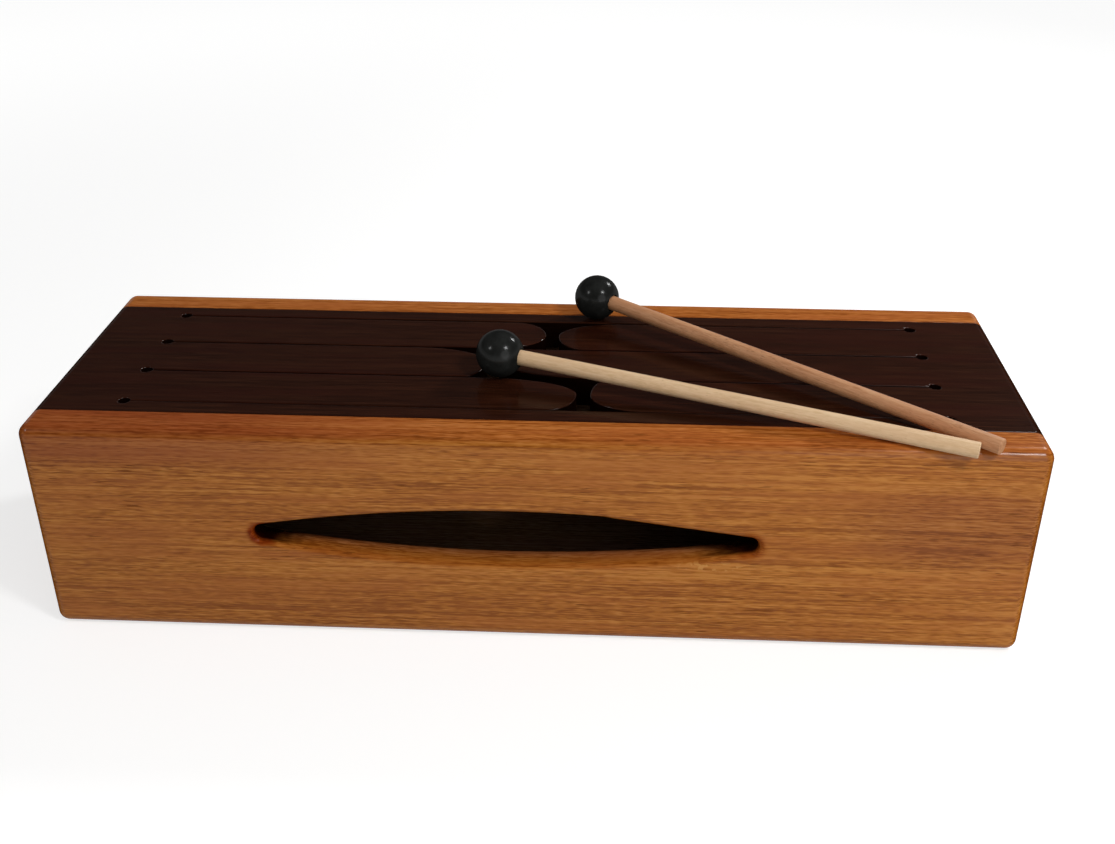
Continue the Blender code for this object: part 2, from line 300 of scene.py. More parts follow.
@dataclass(frozen=True)
class Hollow:
    """The hollow inside the drum, whose walls are darkened with painted shade.

    It has its half sizes, its heights and how far up a surface in it may face.
    """

    half_x: float
    half_y: float
    low: float
    high: float
    facing: float = 1.1

    def mask(self, recipe: MaterialRecipe) -> NodeSocket:
        """Finds the surfaces that bound the hollow.

        Args:
            recipe: the material's recipe.

        Returns:
            1 on those surfaces and 0 elsewhere.
        """
        spot = recipe.split(recipe.own)
        upward = recipe.split(recipe.coordinates("Normal"))["Z"]
        tests = (
            ("LESS_THAN", recipe.math("ABSOLUTE", spot["X"]), self.half_x),
            ("LESS_THAN", recipe.math("ABSOLUTE", spot["Y"]), self.half_y),
            ("LESS_THAN", spot["Z"], self.high),
            ("GREATER_THAN", spot["Z"], self.low),
            ("LESS_THAN", upward, self.facing),
        )
        return recipe.product(*(recipe.math(*test) for test in tests))


@dataclass(frozen=True)
class WoodFinish:
    """A wood: its light, middle, blushed and dark colours, its figure and its varnish."""

    name: str
    light: Colour
    middle: Colour
    blush: Colour
    dark: Colour
    pore_colour: Colour
    grain: Grain
    pore_share: float
    roughness: float
    gloss: float
    relief: float
    roughness_swing: Span = (-0.04, 0.06)
    varnish: float = 0.0
    varnish_roughness: float = 0.2
    deep_tones: Span = (1.36, 1.62)
    pale_tones: Span = (1.58, 1.90)
    end_grain: Span | None = None
    end_share: float = 0.9
    bare_ends: Span | None = None
    crown: Span | None = None
    crown_tint: Colour = (0.99, 0.88, 1.15)
    hollow: Hollow | None = None
    # Painted shade for the walls round the hollow.
    hollow_shade_tint: Colour = (0.36, 0.58, 2.20)
    hollow_roughness: float = 0.8

    def material(self, place: Matrix | None = None) -> Material:
        """Builds the finish, with its fibres along the X of a place if it isn't the drum's own."""
        return self.dress(self.name, place).material

    def fibres(self, recipe: MaterialRecipe, place: Matrix | None) -> NodeSocket:
        """Turns the piece's coordinates so that X runs along the fibres, and sways them a little.

        Args:
            recipe: the material's recipe.
            place: the frame whose X runs along the fibres.

        Returns:
            The turned and swayed coordinates.
        """
        own = recipe.own
        if place is not None:
            inputs = {"Vector": own, "Location": place.translation, "Rotation": place.to_euler()}
            own = recipe.node("ShaderNodeMapping", inputs, vector_type="TEXTURE").outputs["Vector"]
        sway = recipe.noise(own, self.grain.sways_per_metre)
        lift = recipe.product(recipe.math("SUBTRACT", sway, 0.5), self.grain.sway)
        shift = recipe.node("ShaderNodeCombineXYZ", {"Y": lift, "Z": lift}).outputs["Vector"]
        return recipe.vector("ADD", own, shift)

    def dress(self, name: str, place: Matrix | None = None) -> MaterialRecipe:
        """Fills a new material with the wood's colour, roughness, varnish and relief.

        Args:
            name: the material's name.
            place: the frame whose X runs along the fibres, if it isn't the drum's own.

        Returns:
            Its recipe, for a finish that changes it further.
        """
        recipe = MaterialRecipe(name, self.dark)
        grain = self.grain
        along = self.fibres(recipe, place)
        sizes = (grain.band, grain.blush, grain.line, grain.streak)
        band, blush, line, streak = (grain.layer(recipe, along, size) for size in sizes)
        fibre, pore = (grain.layer(recipe, along, size, detail=1) for size in (grain.fibre, grain.pore))
        tone = fibre
        weights = ((band, grain.band_weight), (line, grain.line_weight), (streak, grain.streak_weight))
        for layer, weight in weights:
            tone = recipe.math("ADD", tone, recipe.product(layer, weight))
        recipe.paint(recipe.span(tone, *self.deep_tones), self.middle)
        recipe.paint(recipe.span(tone, *self.pale_tones), self.light)
        recipe.paint(recipe.span(blush, *grain.blush_edges, (0.0, grain.blush_share)), self.blush)
        solid = 1 - self.pore_share
        patch = recipe.span(recipe.noise(along, grain.pore_patches_per_metre, detail=1), *grain.patch_edges)
        open_pore = recipe.product(recipe.span(pore, solid, solid + grain.pore_edge), patch)
        recipe.paint(recipe.product(open_pore, grain.pore_depth), self.pore_colour)
        swing = tuple(self.roughness + change for change in self.roughness_swing)
        rough = recipe.span(streak, *grain.streak_edges, swing)
        film = recipe.span(open_pore, 0.0, 1.0, (self.varnish, self.varnish * grain.pore_varnish))
        spot = recipe.split(recipe.own)
        reach = recipe.math("ABSOLUTE", spot["X"])
        if self.crown is not None:
            recipe.tint(recipe.span(spot["Z"], *self.crown), self.crown_tint)
        if self.end_grain is not None and place is None:
            rings = recipe.noise(along, grain.rings_per_metre, roughness=grain.ring_roughness)
            sawn = recipe.mix(recipe.span(rings, *grain.ring_edges), self.pore_colour, self.dark)
            recipe.paint(recipe.span(reach, *self.end_grain, (0.0, self.end_share)), sawn)
        if self.bare_ends is not None and place is None:
            film = recipe.span(reach, *self.bare_ends, (film, 0.0))
        # Painted shade: the walls round the hollow are darkened, and made rough and bare.
        if self.hollow is not None:
            inside = self.hollow.mask(recipe)
            recipe.tint(inside, self.hollow_shade_tint)
            rough = recipe.span(inside, 0.0, 1.0, (rough, self.hollow_roughness))
            film = recipe.span(inside, 0.0, 1.0, (film, 0.0))
        if self.varnish > 0:
            recipe.fill(recipe.surface, {"Coat Weight": self.varnish})
            recipe.fill(recipe.surface, {"Coat Weight": film, "Coat Roughness": self.varnish_roughness})
        height = recipe.math("SUBTRACT", recipe.product(fibre, grain.fibre_relief), open_pore)
        inputs = {
            "Base Color": recipe.colour,
            "Roughness": rough,
            "Specular IOR Level": self.gloss,
            "Normal": recipe.bump(height, self.relief),
        }
        recipe.fill(recipe.surface, inputs)
        recipe.film = film
        return recipe


@dataclass(frozen=True)
class Patch:
    """An oval patch of a board's face: its middle, its half sizes, its colour and how it fades out."""

    middle: Triple
    half_sizes: Triple
    colour: Colour
    fade: Span = (1.0, 0.3)

    def mask(self, recipe: Recipe, flat: NodeSocket) -> NodeSocket:
        """How deep in the patch a spot of the face is, from 0 to 1. The spot's depth is left out."""
        scaled = recipe.vector("DIVIDE", recipe.vector("SUBTRACT", flat, self.middle), self.half_sizes)
        return recipe.span(recipe.distance(scaled), *self.fade)


@dataclass(frozen=True)
class LipFinish(WoodFinish):
    """A board's wood round its sound hole: warmer on the hole's wall and scorched round its ends, with
    painted shade deep in the wall near its ends and pale specks below its right end.

    It has painted shade too: the face is darker in two patches, towards the left of the top edge and on the
    upper right under the mallets' tails, and on surfaces that face forward and up, such as the upper front
    edge.
    """

    lip_tint: Colour = (0.89, 0.79, 0.72)
    wall_tint: Colour = (0.78, 0.86, 2.10)
    ring_tint: Colour = (0.58, 0.30, 0.20)
    # Painted shade deep in the hole's wall near its ends.
    wall_shade_tint: Colour = (0.05, 0.028, 0.022)
    # Painted shade on surfaces that face forward and up, such as the upper front edge.
    arris_shade_tint: Colour = (0.89, 0.86, 0.88)
    arris_shade_lean: Span = (-0.10, -0.42)
    lip_reach: float = 0.004
    ring: Span = (0.0092, 0.0058)
    ring_varnish: float = 0.1
    ring_wander: float = 0.001
    right_ring_share: float = 0.5
    # How far from each end of the hole the painted shade in the wall reaches.
    smoke: Span = (0.026, 0.008)
    right_smoke: Span = (0.036, 0.006)
    wall_shade_wander: float = 0.004
    clouds_per_metre: Triple = (120, 120, 300)
    cloud_edges: Span = (0.2, 0.8)
    lip_depth: Span = (0.0008, 0.0045)
    wall_depth: Span = (0.003, 0.014)
    # Pale specks along the lower rim near the hole's right end.
    rim_specks: Patch = Patch((0.093, 0, 0.0480), (0.023, 1, 0.0038), (0.58, 0.27, 0.065))
    rim_speck_share: float = 0.8
    specks_per_metre: Triple = (350, 350, 600)
    speck_edges: Span = (0.50, 0.60)
    # Painted shade: darker patches towards the left of the top edge and on the upper right under the mallets'
    # tails.
    shade_patches: tuple[Patch, ...] = (
        Patch((-0.250, 0, 0.118), (0.260, 1, 0.030), (0.70, 0.55, 0.60)),
        Patch((0.215, 0, 0.074), (0.080, 1, 0.034), (0.80, 0.74, 0.85)),
    )

    def lip_material(self, hole: "SoundHole", outer_y: float) -> Material:
        """Builds the finish of the board that has the hole.

        Args:
            hole: the sound hole.
            outer_y: the board's outer face.

        Returns:
            The material.
        """
        recipe = self.dress(self.name + "_lip")
        film = recipe.film
        spot = recipe.split(recipe.own)
        flat = recipe.vector("MULTIPLY", recipe.own, (1, 0, 1))
        # Painted shade: the face is darkened in these patches.
        for streak in self.shade_patches:
            recipe.tint(streak.mask(recipe, flat), streak.colour)
        # Painted shade: surfaces that face forward and up, such as the upper front edge, are darkened.
        lean = recipe.split(recipe.coordinates("Normal"))
        edge = recipe.span(recipe.product(lean["Y"], lean["Z"]), *self.arris_shade_lean)
        recipe.tint(edge, self.arris_shade_tint)
        depth = recipe.math("SUBTRACT", spot["Y"], outer_y)
        across = recipe.math("ABSOLUTE", recipe.math("SUBTRACT", spot["X"], hole.middle_x))
        away = recipe.math("SUBTRACT", across, hole.length / 2)
        for way in (-1, 1):
            arch = recipe.math("SUBTRACT", recipe.distance(flat, hole.arc_middle(way)), hole.long_radius)
            away = recipe.math("MAXIMUM", away, arch)
        lip = recipe.span(away, self.lip_reach, 0.0)
        recipe.tint(lip, self.lip_tint)
        recipe.tint(recipe.product(lip, recipe.span(depth, *self.wall_depth)), self.wall_tint)
        cloud = recipe.noise(recipe.own, self.clouds_per_metre, detail=1)
        # Painted shade: the hole's wall is darkened deep in, near its ends.
        deep_wall = recipe.product(lip, recipe.span(depth, *self.lip_depth))
        for end in End:
            near = recipe.distance(flat, hole.end_middle(end))
            singed, shade_near = (
                recipe.math("ADD", near, recipe.span(cloud, *self.cloud_edges, (-wander, wander)))
                for wander in (self.ring_wander, self.wall_shade_wander)
            )
            share = self.right_ring_share if end is End.RIGHT else 1.0
            recipe.tint(recipe.span(singed, *self.ring, (0, share)), self.ring_tint)
            film = recipe.span(singed, *self.ring, (film, self.ring_varnish))
            smoke = self.right_smoke if end is End.RIGHT else self.smoke
            recipe.tint(recipe.product(recipe.span(shade_near, *smoke), deep_wall), self.wall_shade_tint)
        # Pale specks along the lower rim near the hole's right end.
        specks = recipe.noise(recipe.own, self.specks_per_metre, detail=1)
        speck = recipe.span(specks, *self.speck_edges, (0.0, self.rim_speck_share))
        recipe.paint(recipe.product(self.rim_specks.mask(recipe, flat), speck), self.rim_specks.colour)
        recipe.fill(recipe.surface, {"Base Color": recipe.colour, "Coat Weight": film})
        return recipe.material


@dataclass(frozen=True)
class RubberFinish:
    """The balls' black rubber: smooth, with a faint bloom."""

    name: str = "black_rubber"
    deep: Colour = (0.0105, 0.0108, 0.0100)
    bloom: Colour = (0.0165, 0.0171, 0.0160)
    bloom_edges: Span = (0.35, 0.7)
    clouds_per_metre: Triple = (160, 160, 160)
    cloud_detail: float = 3
    cloud_roughness: float = 0.6
    pits_per_metre: Triple = (1500, 1500, 1500)
    roughness: Span = (0.57, 0.66)
    roughness_edges: Span = (0.3, 0.7)
    gloss: float = 0.075
    gloss_index: float = 2.2
    gloss_roughness: float = 0.19
    relief: float = 0.00002

    def material(self) -> Material:
        """Builds the finish.

        Returns:
            The material.
        """
        recipe = MaterialRecipe(self.name, self.deep)
        cloud = recipe.noise(recipe.own, self.clouds_per_metre, self.cloud_detail, self.cloud_roughness)
        pits = recipe.noise(recipe.own, self.pits_per_metre, detail=1)
        recipe.paint(recipe.span(cloud, *self.bloom_edges), self.bloom)
        inputs = {
            "Base Color": recipe.colour,
            "Roughness": recipe.span(cloud, *self.roughness_edges, self.roughness),
            "Normal": recipe.bump(pits, self.relief),
            "Specular IOR Level": 0.0,
            "Coat Weight": self.gloss,
            "Coat IOR": self.gloss_index,
            "Coat Roughness": self.gloss_roughness,
        }
        recipe.fill(recipe.surface, inputs)
        return recipe.material


class Pen:
    """Draws a flat outline of lines and arcs in XY, as the edges of a shape."""

    def __init__(self, shape: BMesh, x: float, y: float, z: float = 0.0) -> None:
        """Sets the pen down.

        Args:
            shape: the shape to draw in.
            x: where the outline starts along X.
            y: where it starts along Y.
            z: the height of its plane.
        """
        self.shape = shape
        self.z = z
        self.before = set(shape.edges)
        self.first = shape.verts.new((x, y, z))
        self.last = self.first

    def line(self, x: float, y: float) -> "Pen":
        """Draws a straight line to a point.

        Args:
            x: the point along X.
            y: the point along Y.

        Returns:
            The pen.
        """
        spot = self.shape.verts.new((x, y, self.z))
        self.shape.edges.new((self.last, spot))
        self.last = spot
        return self

    def arc(self, x: float, y: float, angle: float, steps: int, stretch: Span = (1.0, 1.0)) -> "Pen":
        """Draws an arc about a middle.

        Args:
            x: the middle along X.
            y: the middle along Y.
            angle: how far it turns, anticlockwise.
            steps: how many edges it has.
            stretch: how far the round arc is stretched along X and Y, which makes it elliptic.

        Returns:
            The pen.
        """
        middle = Vector((x, y, self.z))
        known = set(self.shape.verts)
        spun = bmesh.ops.spin(self.shape, geom=[self.last], cent=middle, axis=UP, angle=angle, steps=steps)
        drawn = [spot for spot in self.shape.verts if spot not in known]
        bmesh.ops.scale(self.shape, vec=(*stretch, 1), space=Matrix.Translation(-middle), verts=drawn)
        self.last = next(item for item in spun["geom_last"] if isinstance(item, BMVert))
        return self

    def close(self) -> list[BMEdge]:
        """Joins the outline's end to its start.

        Returns:
            The outline's edges.
        """
        if (self.last.co - self.first.co).length < WELD:
            bmesh.ops.weld_verts(self.shape, targetmap={self.last: self.first})
        else:
            self.shape.edges.new((self.last, self.first))
        return [edge for edge in self.shape.edges if edge not in self.before]

    def fill(self) -> None:
        """Joins the outline's end to its start and fills it with a face."""
        bmesh.ops.contextual_create(self.shape, geom=self.close())


def whole(shape: BMesh) -> list:
    """All the points, edges and faces of a shape."""
    return [*shape.verts, *shape.edges, *shape.faces]


def ease(shape: BMesh, edges: list[BMEdge], radius: float, segments: int) -> None:
    """Rounds a shape's edges over to a radius, with a number of facets."""
    size = {"offset": radius, "offset_type": "OFFSET", "segments": segments, "profile": 0.5}
    bmesh.ops.bevel(shape, geom=edges, affect="EDGES", material=-1, **size)


def block(shape: BMesh, low: Vector, high: Vector) -> None:
    """Adds to a shape a box between its lowest and its highest corner."""
    place = Matrix.Translation((low + high) / 2) @ Matrix.Diagonal((*(high - low), 1))
    bmesh.ops.create_cube(shape, size=1, matrix=place)


def is_level(edge: BMEdge, axis: int, value: float) -> bool:
    """Whether both ends of an edge are at a value of an axis."""
    return all(abs(spot.co[axis] - value) < LEVEL_SLACK for spot in edge.verts)


def is_across(edge: BMEdge, reach: float) -> bool:
    """Whether an edge lies across the drum, at a distance from its middle."""
    return is_level(edge, 0, reach) or is_level(edge, 0, -reach)


def thicken(shape: BMesh, depth: float) -> None:
    """Makes a flat shape a board by drawing it down.

    Args:
        shape: the shape.
        depth: the board's thickness.
    """
    drawn = bmesh.ops.extrude_face_region(shape, geom=list(shape.faces))["geom"]
    spots = [item for item in drawn if isinstance(item, BMVert)]
    bmesh.ops.translate(shape, verts=spots, vec=(0, 0, -depth))
    bmesh.ops.recalc_face_normals(shape, faces=shape.faces)


def saw(shape: BMesh, spot: Triple, outward: Triple) -> list[BMEdge]:
    """Saws a shape along a plane, drops what lies beyond it and closes the cut.

    Args:
        shape: the shape.
        spot: a point of the plane.
        outward: the way to what is dropped.

    Returns:
        The cut's edges.
    """
    plane = {"plane_co": spot, "plane_no": outward, "dist": WELD}
    cut = bmesh.ops.bisect_plane(shape, geom=whole(shape), clear_outer=True, **plane)
    edges = [item for item in cut["geom_cut"] if isinstance(item, BMEdge)]
    bmesh.ops.contextual_create(shape, geom=edges)
    return edges


def add_object(name: str, shape: BMesh, material: Material) -> Object:
    """Makes a shape an object of the scene.

    Args:
        name: the object's name.
        shape: its shape. It is freed.
        material: its finish.

    Returns:
        The object.
    """
    mesh = bpy.data.meshes.new(name)
    shape.to_mesh(mesh)
    shape.free()
    mesh.materials.append(material)
    made = bpy.data.objects.new(name, mesh)
    bpy.context.scene.collection.objects.link(made)
    return made


def add_piece(name: str, shape: BMesh, material: Material, slot: Slot, *nodes: str) -> Object:
    """Makes a shape a piece that stands for CAD nodes.

    Args:
        name: the piece's name.
        shape: its shape, in the drum's frame. It is freed.
        material: its finish.
        slot: the record's slot of that finish. It is not used.
        nodes: the CAD nodes that it stands for.

    Returns:
        The piece.
    """
    bmesh.ops.remove_doubles(shape, verts=shape.verts, dist=WELD)
    bmesh.ops.recalc_face_normals(shape, faces=shape.faces)
    piece = add_object(name, shape, material)
    piece.data.shade_smooth()
    piece.data.set_sharp_from_angle(angle=SHARP_ANGLE)
    shading = piece.modifiers.new("level_shading", "WEIGHTED_NORMAL")
    shading.keep_sharp = True
    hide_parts(*nodes)
    LOG.info("%s: %d faces", name, len(piece.data.polygons))
    return piece


@dataclass
class SoundHole:
    """The leaf-shaped hole: two long arcs that run into two round ends, with eased rims."""

    length: float = 0.253
    height: float = 0.030
    end_radius: float = 0.0048
    rim_radius: float = 0.003
    inner_radius: float = 0.010
    middle_x: float = -0.012
    middle_z: float = 0.0603
    kink_x: float = 0.050
    kink_rise: float = 0.0013
    long_steps: int = 64
    end_steps: int = 16
    rim_steps: int = 8

    def __post_init__(self) -> None:
        """Works out the arcs that meet smoothly."""
        half = self.height / 2
        self.end_x = self.length / 2 - self.end_radius
        rise = half - self.end_radius
        self.long_radius = (self.end_x**2 + half**2 - self.end_radius**2) / (2 * rise)
        self.drop = self.long_radius - half
        self.lean = math.atan2(self.drop, self.end_x)

    def arc_middle(self, way: int) -> Vector:
        """The middle of a long arc, below the hole for way -1 and above it for 1."""
        return Vector((self.middle_x, 0, self.middle_z + way * self.drop))

    def end_middle(self, end: End) -> Vector:
        """The middle of a round end."""
        return Vector((self.middle_x + end.value * self.end_x, 0, self.middle_z))

    def loop(self, shape: BMesh, grow: float, y: float) -> list[BMEdge]:
        """Draws the leaf on a plane of the board.

        Args:
            shape: the board.
            grow: how far outside the hole's wall it runs.
            y: the plane.

        Returns:
            Its edges.
        """
        known = set(shape.verts)
        long_radius = self.long_radius + grow
        arch = math.pi - 2 * self.lean
        start_x = long_radius * math.cos(self.lean)
        start_y = long_radius * math.sin(self.lean) - self.drop
        pen = Pen(shape, start_x, start_y)
        pen.arc(0, -self.drop, arch, self.long_steps).arc(-self.end_x, 0, 2 * self.lean, self.end_steps)
        pen.arc(0, self.drop, arch, self.long_steps).arc(self.end_x, 0, 2 * self.lean, self.end_steps)
        edges = pen.close()
        drawn = [spot for spot in shape.verts if spot not in known]
        self.bend(drawn, start_x, start_y)
        stand = Matrix.Translation((self.middle_x, y, self.middle_z)) @ Matrix.Rotation(math.pi / 2, 4, "X")
        bmesh.ops.transform(shape, matrix=stand, verts=drawn)
        return edges

    def bend(self, drawn: list[BMVert], end_x: float, end_y: float) -> None:
        """Gives the leaf's upper edge the rise and the kink that the saw left in it.

        Args:
            drawn: the leaf's points.
            end_x: where the upper edge meets the right end.
            end_y: its height there.
        """
        upper = [spot for spot in drawn if spot.co.y > 0 and abs(spot.co.x) < end_x]
        peak = max(spot.co.y for spot in upper if spot.co.x >= self.kink_x) + self.kink_rise
        for spot in upper:
            share = (end_x - spot.co.x) / (end_x - self.kink_x)
            if share < 1:
                spot.co.y = end_y + (peak - end_y) * share
            else:
                along = (spot.co.x + end_x) / (self.kink_x + end_x)
                spot.co.y += self.kink_rise * math.sin(math.pi / 2 * along)

    def cut(self, shape: BMesh, outer_y: float, inner_y: float) -> None:
        """Cuts the leaf through a board and rounds both its rims.

        Args:
            shape: the board.
            outer_y: its outer face.
            inner_y: its inner face.
        """
        faces = sorted(shape.faces, key=lambda face: face.calc_area())[-2:]
        outer, inner = sorted(faces, key=lambda face: face.calc_center_median().y)
        turns = [math.pi / 2 * step / self.rim_steps for step in range(self.rim_steps + 1)]
        rim = [(1 - math.sin(t), 1 - math.cos(t)) for t in turns]
        outside, inside = self.rim_radius, self.inner_radius
        stations = [(outside * grow, outer_y + outside * depth) for grow, depth in rim]
        stations += [(inside * grow, inner_y - inside * depth) for grow, depth in reversed(rim)]
        loops = [self.loop(shape, grow, y) for grow, y in stations]
        for near, far in zip(loops, loops[1:]):
            bmesh.ops.bridge_loops(shape, edges=near + far)
        for face, loop in ((outer, loops[0]), (inner, loops[-1])):
            border = list(face.edges)
            bmesh.ops.delete(shape, geom=[face], context="FACES_ONLY")
            bmesh.ops.triangle_fill(shape, use_beauty=True, edges=border + loop)


@dataclass
class Box:
    """The box under the plate: two side boards, two end boards and a bottom, all of one wood."""

    finish: LipFinish
    hole: SoundHole
    length: float = 0.500
    width: float = 0.168
    height: float = 0.118
    side_thickness: float = 0.020
    end_thickness: float = 0.020
    bottom_thickness: float = 0.012
    plate_thickness: float = 0.016
    edge_radius: float = 0.006
    edge_steps: int = 10
    gap: float = 0.0003
    joint_ease: float = 0.0004
    joint_steps: int = 2
    bottom_ease: float = 0.0008
    bottom_steps: int = 3

    @property
    def seat(self) -> float:
        """Half the room between the side boards, for the boards and the plate between them."""
        return self.width / 2 - self.side_thickness - self.gap

    def rounded(self) -> BMesh:
        """The whole box as one block with its edges rounded."""
        shape = bmesh.new()
        half = Vector((self.length / 2, self.width / 2, 0))
        block(shape, -half, half + Vector((0, 0, self.height)))
        ease(shape, list(shape.edges), self.edge_radius, self.edge_steps)
        return shape

    def add_board(self, name: str, shape: BMesh, material: Material) -> None:
        """Adds a board, which stands for the CAD panel of its name and rides on the drum."""
        piece = add_piece(f"{name}_board", shape, material, Slot.SIDE_WOOD, f"{name}_panel")
        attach(piece, DRUM)

    def side_board(self, wall: Wall) -> None:
        """Makes a long side board. The front one has the sound hole.

        Args:
            wall: which board.
        """
        shape = self.rounded()
        outer = wall.value * self.width / 2
        inner = outer - wall.value * self.side_thickness
        seam = saw(shape, (0, inner, 0), (0, -wall.value, 0))
        bmesh.ops.recalc_face_normals(shape, faces=shape.faces)
        ease(shape, seam, self.joint_ease, self.joint_steps)
        if wall is Wall.FRONT:
            self.hole.cut(shape, outer, inner)
            material = self.finish.lip_material(self.hole, outer)
        else:
            material = self.finish.material()
        self.add_board(wall.label, shape, material)

    def end_board(self, end: End) -> None:
        """Makes an end board, between the side boards and under the plate.

        Args:
            end: which end.
        """
        shape = self.rounded()
        top = self.height - self.plate_thickness - self.gap
        inner = end.value * (self.length / 2 - self.end_thickness)
        saw(shape, (0, self.seat, 0), (0, 1, 0))
        saw(shape, (0, -self.seat, 0), (0, -1, 0))
        saw(shape, (0, 0, top), UP)
        saw(shape, (inner, 0, 0), (-end.value, 0, 0))
        bmesh.ops.recalc_face_normals(shape, faces=shape.faces)
        edges = [edge for edge in shape.edges if edge.calc_face_angle(0) > SHARP_ANGLE]
        ease(shape, edges, self.joint_ease, self.joint_steps)
        across = Matrix.Translation((inner, 0, 0)) @ Matrix.Rotation(math.pi / 2, 4, "Z")
        self.add_board(f"{end.label}_end", shape, self.finish.material(across))

    def bottom_board(self) -> None:
        """Makes the bottom, between the side and end boards."""
        shape = bmesh.new()
        reach = self.length / 2 - self.end_thickness - self.gap
        block(shape, Vector((-reach, -self.seat, 0)), Vector((reach, self.seat, self.bottom_thickness)))
        ease(shape, list(shape.edges), self.bottom_ease, self.bottom_steps)
        self.add_board("bottom", shape, self.finish.material())


@dataclass(frozen=True)
class TongueRow:
    """A row of two tongues: its place back from the middle row, and the shapes of its tips."""

    name: str
    place: int
    cut_x: float
    left_shoulders: Span
    right_shoulders: Span

    def shoulders(self, end: End) -> Span:
        """The lengths of a tip's rounding at the back and at the front edge."""
        return self.left_shoulders if end is End.LEFT else self.right_shoulders


